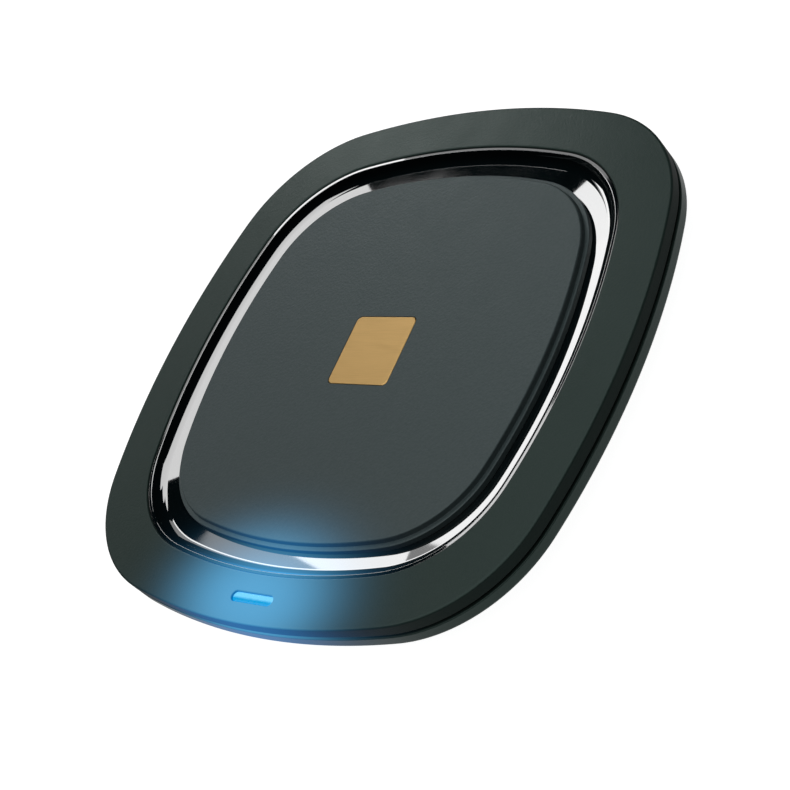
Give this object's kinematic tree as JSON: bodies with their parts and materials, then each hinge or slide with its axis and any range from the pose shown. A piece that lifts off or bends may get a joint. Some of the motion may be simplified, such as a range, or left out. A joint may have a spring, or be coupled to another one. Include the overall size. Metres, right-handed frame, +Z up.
{
  "type": "wireless charging pad",
  "caption": "Rounded-square wireless charging pad with a flat matte rim, a sunken gloss ring, a matte centre plate and a status light, powered through an inlet at the rear.",
  "frame": {"origin": "middle of the pad, on the surface that its feet stand on", "axes": "+Z up out of the charging face, -Y towards the edge with the status light, +Y towards the edge with the power inlet"},
  "size_m": [0.098, 0.098, 0.01],
  "materials": {
    "matte_black_plastic": "fine spark-eroded grain",
    "gloss_black_plastic": "polished",
    "soft_touch_coating": "fine matte coating",
    "gold_foil": "satin",
    "dark_rubber": "matte",
    "zinc_plated_steel": "satin",
    "blue_light_pipe": "lit from below, clear blue",
    "led_resin": "cast",
    "label_film": "satin film",
    "circuit_board": "solder mask",
    "chip_resin": "moulded",
    "capacitor_ceramic": "fired",
    "litz_copper": "enamelled wire",
    "ferrite": "sintered",
    "polyimide_film": "clear film"
  },
  "bodies": {
    "root": {"rim_cover": "matte_black_plastic", "gloss_channel": "gloss_black_plastic", "centre_plate": "soft_touch_coating", "emblem_tile": "gold_foil", "bottom_cover": "matte_black_plastic", "foot_1": "dark_rubber", "foot_2": "dark_rubber", "foot_3": "dark_rubber", "foot_4": "dark_rubber", "case_screw_1": "zinc_plated_steel", "case_screw_2": "zinc_plated_steel", "case_screw_3": "zinc_plated_steel", "case_screw_4": "zinc_plated_steel", "rating_label": "label_film", "main_board": "circuit_board", "board_screw_1": "zinc_plated_steel", "board_screw_2": "zinc_plated_steel", "board_screw_3": "zinc_plated_steel", "usb_shell": "zinc_plated_steel", "usb_tongue": "chip_resin", "charge_controller": "chip_resin", "voltage_regulator": "chip_resin", "bridge_mosfet_1": "chip_resin", "bridge_mosfet_2": "chip_resin", "current_resistor": "chip_resin", "filter_inductor": "ferrite", "input_capacitor": "capacitor_ceramic", "resonant_capacitor_1": "capacitor_ceramic", "resonant_capacitor_2": "capacitor_ceramic", "resonant_capacitor_3": "capacitor_ceramic", "resonant_capacitor_4": "capacitor_ceramic", "status_led": "led_resin", "light_gasket": "dark_rubber", "light_pipe": "blue_light_pipe", "transmit_coil": "litz_copper", "ferrite_sheet": "ferrite", "thermistor_strip": "polyimide_film"}
  },
  "joints": []
}
